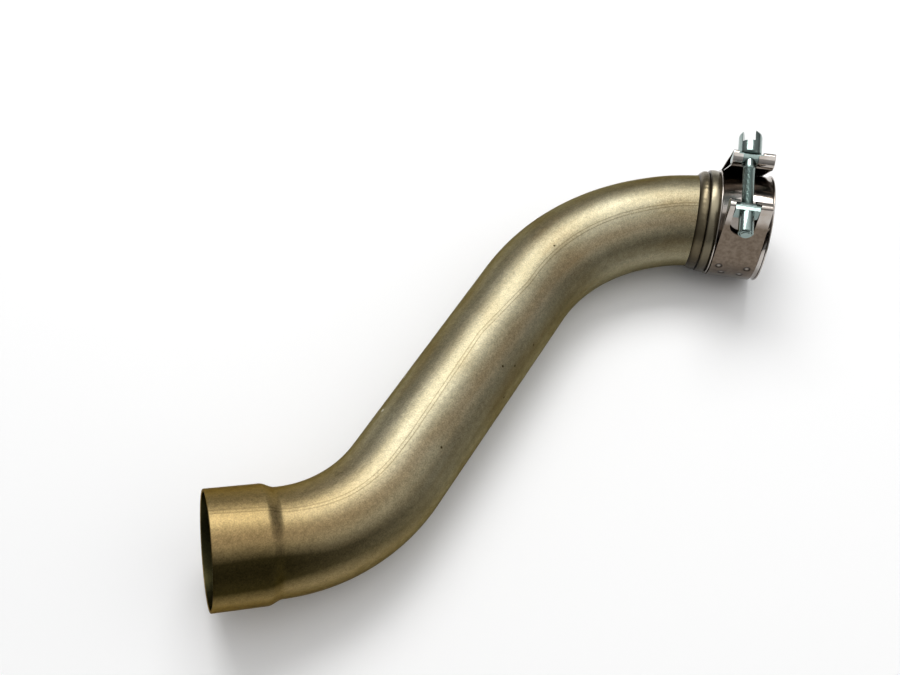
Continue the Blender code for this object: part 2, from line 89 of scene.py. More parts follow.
LOOP_SPREAD = 16.3
CORNER_RADIUS = 1.2
CORNER_BACK = 0.3
RETURN_END = 21.0
NARROW_SLOT = 8.2
WIDE_SLOT = 13.0
SLOT_REACH = 15.5
SLOT_INSIDE = 1.9
SLOT_TALL = 30.0
SPOTS = ((4.5, 7.5), (-8.5, 4.9))  # degrees towards the bolt, half the spacing of a pair
SPOT_RADIUS = 1.7
SPOT_DEPTH = 0.3
PIN_RADIUS = 3.8
PIN_FLAT = 0.5
BOLT_OFFSET = -1.7
BOLT_RADIUS = 3.0
HEAD_RADIUS = 6.1
HEAD_HEIGHT = 15.4
HEAD_SHOULDER = 3.4
HEAD_SLOT_WIDTH = 6.4
HEAD_SLOT_DEPTH = 8.2
HEAD_SLOT_TURN = -19.0
BOLT_CHAMFER = 0.6
NUT_LENGTH = 14.0
BOLT_TIP = 1.0
CLAMP_TURN = -87.6
LIE_TURNS = (-59.2, 14.1, -26.4)

# Forms finer than the CAD model's, in millimetres unless a note says otherwise
RIM_SOFT = 0.35
WELD_SINK = 0.05
WELD_OVER = 0.1
WELD_RIPPLE = 0.012  # share of the bead's height
WELD_LEAN = 1.1  # a ripple's ends lag its middle by half this many ripples
WELD_SWELL = 2.25  # radians of the sine that shapes the bead
WELD_FULLNESS = 0.75  # power of that sine
STRAP_SOFT = 0.25
THREAD_DEPTH = 0.6  # share of the pitch
THREAD_FLAT = 0.12  # share of the flank that is flat, at the crest and at the root
THREAD_CLEAR = 0.01
PLAIN_SHANK = 9.0
THREAD_RUNOUT = 2.0
SHARP_EDGE = 0.12
SHARP_ANGLE = 30.0  # degrees
BOLT_EDGE = 0.25
BOLT_EDGE_ANGLE = 60.0  # degrees
END_RING = 0.02  # points this near the tube's end belong to its last ring
MERGE = 1e-6  # points this near each other are one

# Grid counts
BEND_ROWS = 61
LEG_ROWS = 25
SOCKET_ROWS = 12
TAPER_ROWS = 24
TUBE_ROWS = 160
MITRE_ROWS = 9
TUBE_COLUMNS = 145
WELD_ROWS = 22
WELD_COLUMNS = 720
RING_ROWS = 230
FOOT_ROWS = 12
SLOPE_ROWS = 18
EYE_ROWS = 40
TAB_ROWS = 16
STRAP_COLUMNS = 71
LINER_ROWS = 181
SHANK_ROWS = 480
BOLT_COLUMNS = 73

# The photograph's camera, in the pipe's own frame
CAMERA_AT = (-38.0655, -457.5685, 68.2825)
CAMERA_LOOK = (0.3264, 0.9443, 0.0423)
CAMERA_UP = (0.0467, -0.0609, 0.9971)
CAMERA_LENS = 40.0
CAMERA_SENSOR = 36.0

# Lamps as azimuth and elevation in degrees, then distance, width and height in metres
LAMPS = {
    "key": (58.0, 57.0, 1.6, 1.26, 0.7),
    "top": (20.0, 84.0, 2.2, 2.4, 2.4),
    "fill": (-62.0, 38.0, 1.5, 1.7, 1.0),
}
LAMP_TARGET = (0.0, 0.0, 0.03)
FLOOR_REACH = 3.0
FLOOR_DROP = 0.0002
HORIZON_SHARE = 0.3  # the room's light at the horizon, as a share of that overhead
OVERHEAD = 0.8  # sine of the elevation from which the room is at its brightest


def turn(axis, degrees):
    """3x3 rotation about x, y or z."""
    return np.array(Matrix.Rotation(math.radians(degrees), 3, axis))


LIE = turn("Z", LIE_TURNS[2]) @ turn("Y", LIE_TURNS[1]) @ turn("X", LIE_TURNS[0])


def vertex_points(mesh):
    """Vertices of a mesh as an array, in millimetres."""
    points = np.empty(len(mesh.vertices) * 3)
    mesh.vertices.foreach_get("co", points)
    return points.reshape(-1, 3) * 1000.0


def mouth_centre():
    """Middle of the socket's end ring in the CAD model, where the pipe's own frame starts."""
    points = vertex_points(NODES["pipe_tube"].data)
    along = points @ LIE[:, 0]
    ring = points[along < along.min() + END_RING] @ LIE
    middle = (ring.max(axis=0) + ring.min(axis=0)) / 2
    return LIE @ middle


ORIGIN = mouth_centre()


def place(points):
    """From the pipe's own frame in millimetres to the shared frame in metres."""
    return (np.asarray(points) @ LIE.T + ORIGIN) / 1000.0


def centre_line():
    """Stations along the pipe: distance s, point, and the frame's ahead, side and up vectors.

    Straight legs join arcs of the bends' radii.  The up vector is carried along without
    twist: each bend's roll turns the bending plane but not the carried vector.
    """
    here, frame_now, rolled, travelled = np.zeros(3), np.eye(3), 0.0, 0.0
    rows = []
    for number, leg in enumerate(LEGS):
        if number:
            radius, angle, roll = BENDS[number - 1]
            frame_now = frame_now @ turn("X", roll)
            rolled += roll
            turns = np.radians(np.linspace(0, angle, BEND_ROWS))[:, None]
            local = radius * np.hstack((np.sin(turns), 0 * turns, 1 - np.cos(turns)))
            frames = np.stack([frame_now @ turn("Y", -math.degrees(t)) for t in turns[:, 0]])
            rows.append((travelled + radius * turns[:, 0], here + local @ frame_now.T, frames, rolled))
            here, frame_now = rows[-1][1][-1], frames[-1]
            travelled += radius * math.radians(angle)
        steps = np.linspace(0, leg, LEG_ROWS)[:, None]
        frames = np.repeat(frame_now[None], len(steps), axis=0)
        rows.append((travelled + steps[:, 0], here + steps * frame_now[:, 0], frames, rolled))
        here, travelled = rows[-1][1][-1], travelled + leg
    s = np.concatenate([row[0] for row in rows])
    points = np.concatenate([row[1] for row in rows])
    carried = np.concatenate([row[2] @ turn("X", -row[3]) for row in rows])
    keep = np.concatenate(([True], np.diff(s) > MERGE))
    return s[keep], points[keep], carried[keep], frame_now


LINE_S, LINE_POINTS, LINE_FRAMES, TUBE_END_FRAME = centre_line()
TAIL_START = float(LINE_S[-1]) - TAIL - PAST
JOINT = LINE_POINTS[-1] - PAST * TUBE_END_FRAME[:, 0]
OUTLET_FRAME = TUBE_END_FRAME @ turn("X", MITRE_ROLL) @ turn("Y", -MITRE_ANGLE)
OUTLET = JOINT - COLLAR_START * OUTLET_FRAME[:, 0]
CLAMP_FRAME = OUTLET_FRAME @ turn("X", CLAMP_TURN)


def on_pipe(s, radius, angle):
    """Points at distance s along the pipe, at a radius and an angle about its centre line."""
    base = np.stack([np.interp(s, LINE_S, LINE_POINTS[:, k]) for k in range(3)], axis=-1)
    up = np.stack([np.interp(s, LINE_S, LINE_FRAMES[:, k, 2]) for k in range(3)], axis=-1)
    side = np.stack([np.interp(s, LINE_S, LINE_FRAMES[:, k, 1]) for k in range(3)], axis=-1)
    out = np.cos(angle)[..., None] * up + np.sin(angle)[..., None] * side
    return base + radius[..., None] * out / np.linalg.norm(out, axis=-1, keepdims=True)


def in_clamp(points):
    """From the clamp's frame to the shared frame."""
    return place(np.asarray(points) @ CLAMP_FRAME.T + OUTLET)


def to_clamp(mesh):
    """A mesh's vertices in the clamp's frame, in millimetres."""
    return ((vertex_points(mesh) - ORIGIN) @ LIE - OUTLET) @ CLAMP_FRAME


def on_bolt(points):
    """From the bolt's frame, Z towards its head, to the clamp's frame."""
    x, y, z = np.moveaxis(np.asarray(points), -1, 0)
    return np.stack((x + STRAP_MIDDLE + BOLT_OFFSET, z, BOLT_HEIGHT - y), axis=-1)


def grid_mesh(name, points, close_rows=False, uv=None):
    """A closed mesh over a grid of points (rows, columns, 3) whose columns close on themselves.

    Rows either close on themselves too, or the first and last row are capped by one face.
    """
    rows, columns = points.shape[:2]
    last = rows if close_rows else rows - 1
    r, c = np.meshgrid(np.arange(last), np.arange(columns), indexing="ij")
    r2, c2 = (r + 1) % rows, (c + 1) % columns
    corners = np.stack((r * columns + c, r * columns + c2, r2 * columns + c2, r2 * columns + c), axis=-1)
    loops = corners.reshape(-1)
    starts = np.arange(0, corners.size, 4)
    if not close_rows:
        ring = np.arange(columns)
        loops = np.concatenate((loops, ring[::-1], (rows - 1) * columns + ring))
        starts = np.concatenate((starts, (corners.size, corners.size + columns)))
    mesh = bpy.data.meshes.new(name)
    mesh.vertices.add(rows * columns)
    mesh.vertices.foreach_set("co", np.ascontiguousarray(points).reshape(-1))
    mesh.loops.add(len(loops))
    mesh.loops.foreach_set("vertex_index", loops.astype(np.int32))
    mesh.polygons.add(len(starts))
    mesh.polygons.foreach_set("loop_start", starts.astype(np.int32))
    mesh.update(calc_edges=True)
    if uv is not None:
        # uv has one more column than the points, so a pattern runs up to the closing line
        wide = np.stack((uv[r, c], uv[r, c + 1], uv[r2, c + 1], uv[r2, c]), axis=-2)
        layer = mesh.uv_layers.new(name="run")
        layer.data.foreach_set("uv", wide.reshape(-1))
    work = bmesh.new()
    work.from_mesh(mesh)
    if work.calc_volume(signed=True) < 0:
        bmesh.ops.reverse_faces(work, faces=work.faces)
        work.to_mesh(mesh)
    work.free()
    return mesh


def prism(outline, low, high):
    """Grid points of a closed outline in X and Y, carried along Z from low to high."""
    flat = np.asarray(outline, dtype=float)
    return np.stack([np.column_stack((flat, np.full(len(flat), z))) for z in (low, high)])


def cut_away(mesh, cutters):
    """The mesh with closed cutter meshes taken out of it, by exact Booleans that are then applied."""
    link = bpy.context.scene.collection.objects.link
    blank = bpy.data.objects.new("blank", mesh)
    link(blank)
    helpers = [blank]
    for cutter in cutters:
        helper = bpy.data.objects.new("cutter", cutter)
        link(helper)
        step = blank.modifiers.new("cut", "BOOLEAN")
        step.object = helper
        helpers.append(helper)
    bpy.context.view_layer.update()
    result = bpy.data.meshes.new_from_object(blank.evaluated_get(bpy.context.evaluated_depsgraph_get()))
    for helper in helpers:
        bpy.data.objects.remove(helper)
    if not result.polygons:
        raise RuntimeError("The cuts left nothing of " + mesh.name)
    return result


def store(mesh, name, values):
    """Keeps one number for each vertex, for a material to read."""
    mesh.attributes.new(name, "FLOAT", "POINT").data.foreach_set("value", values.reshape(-1))


def add_piece(name, mesh, material, node, sharp=35.0):
    """A finished piece: smooth shaded, painted, riding on the body and standing for its CAD node."""
    mesh.materials.clear()
    mesh.materials.append(material)
    mesh.shade_smooth()
    mesh.set_sharp_from_angle(angle=math.radians(sharp))
    made = bpy.data.objects.new(name, mesh)
    bpy.context.scene.collection.objects.link(made)
    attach(made, "root")
    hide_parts(node)
    return made


def soften(made, width, angle, harden=False):
    """A fine bevel, in millimetres, on the edges sharper than an angle."""
    bevel = made.modifiers.new("edge", "BEVEL")
    bevel.width = width / 1000.0
    bevel.segments = 2
    bevel.limit_method = "ANGLE"
    bevel.angle_limit = math.radians(angle)
    bevel.harden_normals = harden


def linear(hex_colour):
    """A hex sRGB colour as linear red, green, blue and 1."""
    parts = np.array([int(hex_colour[k : k + 2], 16) for k in (0, 2, 4)]) / 255.0
    parts = np.where(parts <= 0.04045, parts / 12.92, ((parts + 0.055) / 1.055) ** 2.4)
    return (*[float(part) for part in parts], 1.0)


def add_node(tree, kind, inputs=(), **choices):
    """Adds a shader node.  inputs maps a socket's name or number to a value or an output."""
    node = tree.nodes.new("ShaderNode" + kind)
    for key, value in choices.items():
        setattr(node, key, value)
    for key, value in dict(inputs).items():
        if isinstance(value, bpy.types.NodeSocket):
            tree.links.new(value, node.inputs[key])
        else:
            node.inputs[key].default_value = value
    return node


def new_material(name):
    """An empty node material, and its tree and surface shader."""
    material = bpy.data.materials.new(name)
    material.use_nodes = True
    tree = material.node_tree
    return material, tree, tree.nodes["Principled BSDF"]


def ramp(tree, factor, stops):
    """A colour ramp over a factor, with stops of (position, hex colour or grey number)."""
    node = add_node(tree, "ValToRGB", {"Fac": factor})
    band = node.color_ramp
    while len(band.elements) < len(stops):
        band.elements.new(1.0)
    for element, (position, colour) in zip(band.elements, stops):
        element.position = position
        element.color = linear(colour) if isinstance(colour, str) else (colour, colour, colour, 1.0)
    return node.outputs["Color"]


def blend(tree, factor, below, above, how="MIX"):
    """One colour laid over another by a factor."""
    mixed = add_node(tree, "Mix", {0: factor, 6: below, 7: above}, data_type="RGBA", blend_type=how)
    return mixed.outputs[2]


def spread(tree, value, low, high, out_low, out_high):
    """A value mapped from one range to another, held at its ends."""
    inputs = {"Value": value, "From Min": low, "From Max": high, "To Min": out_low, "To Max": out_high}
    return add_node(tree, "MapRange", inputs).outputs["Result"]


# Tones of the marks, sRGB hex
BROWN_STREAK = "7A6140"
# painted dark reflection along the flank below the brown streak
FLANK_REFLECTION = "2E2812"
SEAM = "57492F"
PIT = "3A301C"
CHIP = "D8D6C8"
# soot with painted shade, for the inside of the bore
SOOT_AND_SHADE = "37341F"
TUBE_SHEEN = "8C8268"
# painted shade for the weld's grooves and the underside of the outlet
SHADE_TONE = "2A2216"
BAND_CLOUD = "A89E94"
HAZE_DARK = "63574B"
HAZE_PALE = "74685C"
SPOT_RING = "1E1A16"

# Marks on the tube, as (distance from the mouth in mm, angle about the pipe in degrees)
SEAM_LINE = ((0, -46), (40, -50), (66, -55), (110, -58), (175, -54), (214, -66), (300, -70))
BROWN_LINE = ((60, -74), (110, -76), (131, -84), (170, -86), (221, -89), (300, -90))
# the flank's painted dark reflection follows this line
FLANK_LINE = ((0, -111), (40, -108), (60, -110), (90, -117), (300, -119))
PITS = ((191, -118), (168, -98), (174, -112), (159, -129), (243, -61), (114, -93))
CHIPS = ((117, -2.5), (140, 7.6))
PIT_SIZE = 0.8
CHIP_SIZE = 1.2
RUN_LENGTH = 300.0  # mm of pipe that the lines span
HALF_TURN = math.pi * TUBE_RADIUS

# Painted shade in the grooves beside the weld: distance along the outlet and half width, in mm
SHADED_GROOVES = ((0.0, 0.9), (COLLAR_START, 0.6))
GROOVE_SHADE = 0.9
# Painted shade under the outlet: its middle, in degrees from the bolt towards its head, and its share
SHADE_SIDE = -130.0
UNDER_SHADE = 0.7
UNDER_FULL = 0.7  # cosine of the angle from its middle at which it is full
# Where marks are full and where they have faded, in metres to each side of their line
BROWN_FADE = (0.001, 0.006)
# widths of the flank's painted dark reflection, along the tube and over the socket
REFLECTION_FADE = (0.003, 0.0105)
SOCKET_REFLECTION_FADE = (0.0065, 0.0135)
SEAM_FADE = (0.0001, 0.0004)
SEAM_APART = 0.0008
# Where changes along the pipe start and end, in metres from the mouth
AMBER_RUN = (0.02, 0.11)
# the flank's painted dark reflection: where it fades, and where it narrows from the socket's width
REFLECTION_RUN = (0.03, 0.10)
NARROWING_RUN = (0.022, 0.05)

# Marks on the strap, in mm: rings and hearts of the spots, and where its darker tone begins
SPOT_RING_RADIUS = SPOT_RADIUS - 0.2
SPOT_RING_WIDTH = 0.5
SPOT_HEART_WIDTH = 0.9
SPOT_HEART_SHARE = 0.8
DARKEN_FROM = 5.5
DARKEN_FADE = 4.0

# Range that holds nearly all of a noise's values, and its middle
NOISE_RANGE = (0.3, 0.7)
NOISE_MIDDLE = (0.35, 0.65)
GLOSS_SWING = 0.15


def off_line(tree, along, around, line):
    """Distance in metres, around the pipe, from a line drawn through marks on it."""
    share = add_node(tree, "Math", {0: along, 1: 1000 / RUN_LENGTH}, operation="MULTIPLY").outputs[0]
    stops = [(s / RUN_LENGTH, 0.5 + angle / 360) for s, angle in line]
    level = spread(tree, ramp(tree, share, stops), 0.0, 1.0, -HALF_TURN / 1000, HALF_TURN / 1000)
    gap = add_node(tree, "Math", {0: around, 1: level}, operation="SUBTRACT").outputs[0]
    return add_node(tree, "Math", {0: gap}, operation="ABSOLUTE").outputs[0]


def near_marks(tree, run, marks, size):
    """1 within half a size in mm of any of the marks, fading to 0 at the whole size."""
    total = None
    for s, angle in marks:
        at = (s / 1000, math.radians(angle) * TUBE_RADIUS / 1000, 0.0)
        away = add_node(tree, "VectorMath", {0: run, 1: at}, operation="DISTANCE").outputs["Value"]
        here = spread(tree, away, size / 2000, size / 1000, 1.0, 0.0)
        if total is not None:
            here = add_node(tree, "Math", {0: total, 1: here}, operation="MAXIMUM").outputs[0]
        total = here
    return total


def heat_tint(tree, where, run, along, chosen):
    """Drifting clouds of straw gold in streaks along the tube, turning amber at the socket."""
    # drawn streaks about 80 mm long and 10 mm wide
    stretched = add_node(tree, "Mapping", {"Vector": run, "Scale": (12.0, 90.0, 1.0)}).outputs[0]
    fine = {"Vector": stretched, "Scale": 1.0, "Detail": 5.0, "Roughness": 0.6}
    streaks = add_node(tree, "TexNoise", fine).outputs["Fac"]
    # clouds about 45 mm across
    clouds = add_node(tree, "TexNoise", {"Vector": where, "Scale": 22.0, "Detail": 3.0}).outputs["Fac"]
    mixed = add_node(tree, "Math", {0: streaks, 1: clouds}, operation="ADD").outputs[0]
    mixed = spread(tree, mixed, 0.64, 1.32, 0.0, 1.0)
    colour = ramp(tree, mixed, ((0.0, chosen.tube_brown), (0.5, chosen.tube_gold), (1.0, chosen.tube_pale)))
    return blend(tree, spread(tree, along, *AMBER_RUN, 1.0, 0.0), colour, linear(chosen.tube_amber))


def tube_marks(tree, run, along, around, colour):
    """A brown streak, a painted dark reflection along the flank, the two lines of the seam, pits and chips,
    over a colour.
    """
    streak = spread(tree, off_line(tree, along, around, BROWN_LINE), *BROWN_FADE, 0.4, 0.0)
    colour = blend(tree, streak, colour, linear(BROWN_STREAK))
    # the painted dark reflection on the flank is widest and darkest over the socket
    full = spread(tree, along, *NARROWING_RUN, SOCKET_REFLECTION_FADE[0], REFLECTION_FADE[0])
    clear = spread(tree, along, *NARROWING_RUN, SOCKET_REFLECTION_FADE[1], REFLECTION_FADE[1])
    flank = spread(tree, off_line(tree, along, around, FLANK_LINE), full, clear, 1.0, 0.0)
    reflection_share = spread(tree, along, *REFLECTION_RUN, 0.96, 0.5)
    flank = add_node(tree, "Math", {0: flank, 1: reflection_share}, operation="MULTIPLY").outputs[0]
    colour = blend(tree, flank, colour, linear(FLANK_REFLECTION))
    seam = off_line(tree, along, around, SEAM_LINE)
    seam = add_node(tree, "Math", {0: seam, 1: SEAM_APART}, operation="SUBTRACT").outputs[0]
    seam = add_node(tree, "Math", {0: seam}, operation="ABSOLUTE").outputs[0]
    colour = blend(tree, spread(tree, seam, *SEAM_FADE, 0.5, 0.0), colour, linear(SEAM))
    colour = blend(tree, near_marks(tree, run, PITS, PIT_SIZE), colour, linear(PIT))
    return blend(tree, near_marks(tree, run, CHIPS, CHIP_SIZE), colour, linear(CHIP))


def tinted_stainless(chosen):
    """Stainless steel tube, blasted and then coloured by heat.

    Blasting leaves a sandy grain that spreads the highlight into a soft streak, and heat
    leaves straw gold, more amber towards the socket, with a brown streak along one side.  A
    dark reflection is painted along the flank below it, and soot with painted shade inside.
    """
    material, tree, shader = new_material("heat_tinted_stainless")
    where = add_node(tree, "TexCoord").outputs["Object"]
    run = add_node(tree, "UVMap", uv_map="run").outputs["UV"]
    along, around = add_node(tree, "SeparateXYZ", {0: run}).outputs[:2]
    # the blasted grain is about 0.1 mm, drawn at 0.7 mm so that it shows
    sandy = {"Vector": where, "Scale": 1500.0, "Detail": 2.0, "Roughness": 0.7}
    grain = add_node(tree, "TexNoise", sandy).outputs["Fac"]
    # stains a few millimetres wide
    stained = {"Vector": where, "Scale": 420.0, "Detail": 4.0, "Roughness": 0.65}
    stains = add_node(tree, "TexNoise", stained).outputs["Fac"]
    colour = heat_tint(tree, where, run, along, chosen)
    colour = tube_marks(tree, run, along, around, colour)
    # soot with painted shade darkens the whole inside of the bore
    soot = add_node(tree, "Attribute", attribute_name="soot").outputs["Fac"]
    colour = blend(tree, soot, colour, linear(SOOT_AND_SHADE))
    colour = blend(tree, 1.0, colour, spread(tree, stains, *NOISE_RANGE, 0.84, 1.16), "MULTIPLY")
    colour = blend(tree, 1.0, colour, spread(tree, grain, *NOISE_RANGE, 0.72, 1.28), "MULTIPLY")
    tree.links.new(colour, shader.inputs["Base Color"])
    shader.inputs["Metallic"].default_value = 1.0
    shader.inputs["Specular Tint"].default_value = linear(TUBE_SHEEN)
    tree.links.new(spread(tree, grain, *NOISE_RANGE, 0.34, 0.46), shader.inputs["Roughness"])
    bump = add_node(tree, "Bump", {"Height": grain, "Strength": 0.3, "Distance": 0.0003})
    tree.links.new(bump.outputs["Normal"], shader.inputs["Normal"])
    return material


def plain_metal(name, colour, roughness, cloud=0.08, grain_scale=400.0, bump=0.1):
    """A metal whose tone and gloss vary softly, darkened by painted shade where its mesh stores it.

    The tone's clouds are about 15 mm across, and the grain is one metre over grain_scale.
    """
    material, tree, shader = new_material(name)
    where = add_node(tree, "TexCoord").outputs["Object"]
    soft = add_node(tree, "TexNoise", {"Vector": where, "Scale": 60.0, "Detail": 3.0}).outputs["Fac"]
    grain = add_node(tree, "TexNoise", {"Vector": where, "Scale": grain_scale, "Detail": 2.0})
    grain = grain.outputs["Fac"]
    shade = spread(tree, soft, *NOISE_RANGE, 1 - cloud, 1 + cloud)
    tone = blend(tree, 1.0, linear(colour), shade, "MULTIPLY")
    # painted shade, where the mesh stores it
    grime = add_node(tree, "Attribute", attribute_name="grime").outputs["Fac"]
    tree.links.new(blend(tree, grime, tone, linear(SHADE_TONE)), shader.inputs["Base Color"])
    smoothest, roughest = roughness * (1 - GLOSS_SWING), roughness * (1 + GLOSS_SWING)
    rough = spread(tree, grain, *NOISE_RANGE, smoothest, roughest)
    tree.links.new(rough, shader.inputs["Roughness"])
    shader.inputs["Metallic"].default_value = 1.0
    lift = add_node(tree, "Bump", {"Height": grain, "Strength": bump, "Distance": 0.0002})
    tree.links.new(lift.outputs["Normal"], shader.inputs["Normal"])
    return material


def polished_band(colour):
    """Stainless strip, mirror-polished, then spot welded.

    The polish gives sharp reflections that the handling has made a little cloudy.  The ring
    of the strap is painted a darker, browner speckled tone than its loops, and each spot
    weld leaves a dark ring round its bright dimple.
    """
    material, tree, shader = new_material("polished_stainless")
    where = add_node(tree, "TexCoord").outputs["Object"]
    # clouds about 11 mm across, and specks of haze about 2 mm
    soft = add_node(tree, "TexNoise", {"Vector": where, "Scale": 90.0, "Detail": 4.0}).outputs["Fac"]
    speckle = add_node(tree, "TexNoise", {"Vector": where, "Scale": 500.0, "Detail": 3.0}).outputs["Fac"]
    cloudy = spread(tree, soft, *NOISE_MIDDLE, 0.0, 1.0)
    tone = blend(tree, cloudy, linear(colour), linear(BAND_CLOUD))
    specks = spread(tree, speckle, *NOISE_MIDDLE, 0.0, 1.0)
    haze = blend(tree, specks, linear(HAZE_DARK), linear(HAZE_PALE))
    # the ring is painted a darker, browner speckled tone than the loops
    dulled = add_node(tree, "Attribute", attribute_name="dulled").outputs["Fac"]
    tone = blend(tree, dulled, tone, haze)
    ring = add_node(tree, "Attribute", attribute_name="spot_ring").outputs["Fac"]
    tree.links.new(blend(tree, ring, tone, linear(SPOT_RING)), shader.inputs["Base Color"])
    shader.inputs["Metallic"].default_value = 1.0
    tree.links.new(spread(tree, soft, *NOISE_RANGE, 0.07, 0.17), shader.inputs["Roughness"])
    lift = add_node(tree, "Bump", {"Height": soft, "Strength": 0.12, "Distance": 0.0006})
    tree.links.new(lift.outputs["Normal"], shader.inputs["Normal"])
    return material


def smooth_copy(node, name, material):
    """A merged copy of a CAD node with smooth shading and a fine bevel on its sharp edges."""
    mesh = NODES[node].data.copy()
    mesh.name = name
    work = bmesh.new()
    work.from_mesh(mesh)
    bmesh.ops.remove_doubles(work, verts=work.verts, dist=MERGE)
    bmesh.ops.dissolve_limit(work, angle_limit=math.radians(0.5), verts=work.verts, edges=work.edges)
    work.to_mesh(mesh)
    work.free()
    made = add_piece(name, mesh, material, node, SHARP_ANGLE)
    soften(made, SHARP_EDGE, SHARP_ANGLE, True)
    return made


class LinkPipeSettings(bpy.types.PropertyGroup):
    """Colours, fine sizes and light that a user would change"""

    tube_gold: bpy.props.StringProperty(
        name="Tube gold", description="Main straw tint, sRGB hex", default="948C72"
    )
    tube_brown: bpy.props.StringProperty(
        name="Tube brown", description="Browner clouds, sRGB hex", default="85775A"
    )
    tube_pale: bpy.props.StringProperty(
        name="Tube pale", description="Paler clouds, sRGB hex", default="A59F87"
    )
    tube_amber: bpy.props.StringProperty(
        name="Socket amber", description="Tint by the socket, sRGB hex", default="8E7B54"
    )
    weld_tone: bpy.props.StringProperty(
        name="Weld", description="Weld metal, sRGB hex", default="7A705A"
    )
    collar_tone: bpy.props.StringProperty(
        name="Collar", description="Satin sleeve, sRGB hex", default="8D8570"
    )
    band_tone: bpy.props.StringProperty(
        name="Band", description="Polished band, sRGB hex", default="C2BEBA"
    )
    zinc_tone: bpy.props.StringProperty(
        name="Zinc", description="Zinc plating, sRGB hex", default="8B9B97"
    )
    thread_pitch: bpy.props.FloatProperty(
        name="Thread pitch",
        description="Pitch of the bolt's thread",
        default=0.001,
        min=0.0005,
        unit="LENGTH",
    )
    ripple_pitch: bpy.props.FloatProperty(
        name="Weld ripple",
        description="Distance between weld ripples",
        default=0.0027,
        min=0.0005,
        unit="LENGTH",
    )
    key_power: bpy.props.FloatProperty(
        name="Key", description="Power of the key lamp", default=15.0, min=0.0, unit="POWER"
    )
    fill_power: bpy.props.FloatProperty(
        name="Fill", description="Power of the low lamp in front", default=3.0, min=0.0, unit="POWER"
    )
    top_power: bpy.props.FloatProperty(
        name="Top", description="Power of the lamp overhead", default=15.0, min=0.0, unit="POWER"
    )
    world_level: bpy.props.FloatProperty(
        name="World",
        description="Strength of the room's light overhead",
        default=0.45,
        min=0.0,
        subtype="UNSIGNED",
    )


def settings():
    """The scene's settings, at their defaults unless a user has changed them."""
    return bpy.context.scene.link_pipe


def mitred(share, radius, angle):
    """Distance along the pipe on its straight tail, stretched so that it ends on the mitre plane.

    The plane stands square to the collar's axis, a seat short of the joint.  A line along the
    tube at a radius and angle meets it at (seat + offset from the joint) over the cosine
    between tube and collar.
    """
    normal = OUTLET_FRAME[:, 0]
    ahead = TUBE_END_FRAME[:, 0]
    start = on_pipe(np.full(np.shape(angle), TAIL_START), radius, angle)
    reach = (-SEAT - (start - JOINT) @ normal) / (ahead @ normal)
    return TAIL_START + share * reach


def mark_painted_shade(mesh):
    """Stores painted shade: full in the grooves beside the weld, and heavier under the outlet.

    Each groove's share is a bell curve of the distance along the outlet, and the underside's
    grows with the cosine of the angle from its middle.
    """
    local = to_clamp(mesh)
    angle = np.arctan2(local[:, 1], local[:, 2])
    # painted shade, heavier under the outlet and full in the grooves
    under = UNDER_SHADE * np.clip(np.cos(angle - math.radians(SHADE_SIDE)) / UNDER_FULL, 0, 1)
    groove = np.zeros(len(local))
    for at, width in SHADED_GROOVES:
        groove = np.maximum(groove, GROOVE_SHADE * np.exp(-(((local[:, 0] - at) / width) ** 2)))
    store(mesh, "grime", 1 - (1 - under) * (1 - groove))


def wall_rows(run, radius, around):
    """Rows along the pipe and down the mitred tail, for one side of the wall."""
    s_main, angle = np.meshgrid(run, around, indexing="ij")
    r_main = np.repeat(radius[:, None], len(around), axis=1)
    tail = np.linspace(0, 1, MITRE_ROWS)[1:]
    share, angle_tail = np.meshgrid(tail, around, indexing="ij")
    r_tail = np.full(share.shape, radius[-1])
    s_tail = mitred(share, r_tail, angle_tail)
    return np.vstack((s_main, s_tail)), np.vstack((r_main, r_tail)), np.vstack((angle, angle_tail))


def rim_rows(inner, outer, around):
    """Rows round the mouth's rim: a quarter circle at each side of a flat end."""
    bow = np.radians(np.linspace(0, 90, 5))[1:-1]
    s = np.concatenate((RIM_SOFT * (1 - np.sin(bow)), [0.0, 0.0], RIM_SOFT * (1 - np.cos(bow))))
    rise = inner + RIM_SOFT * (1 - np.cos(bow))
    fall = outer - RIM_SOFT + RIM_SOFT * np.sin(bow)
    r = np.concatenate((rise, [inner + RIM_SOFT, outer - RIM_SOFT], fall))
    s, angle = np.meshgrid(s, around, indexing="ij")
    return s, np.repeat(r[:, None], len(around), axis=1), angle


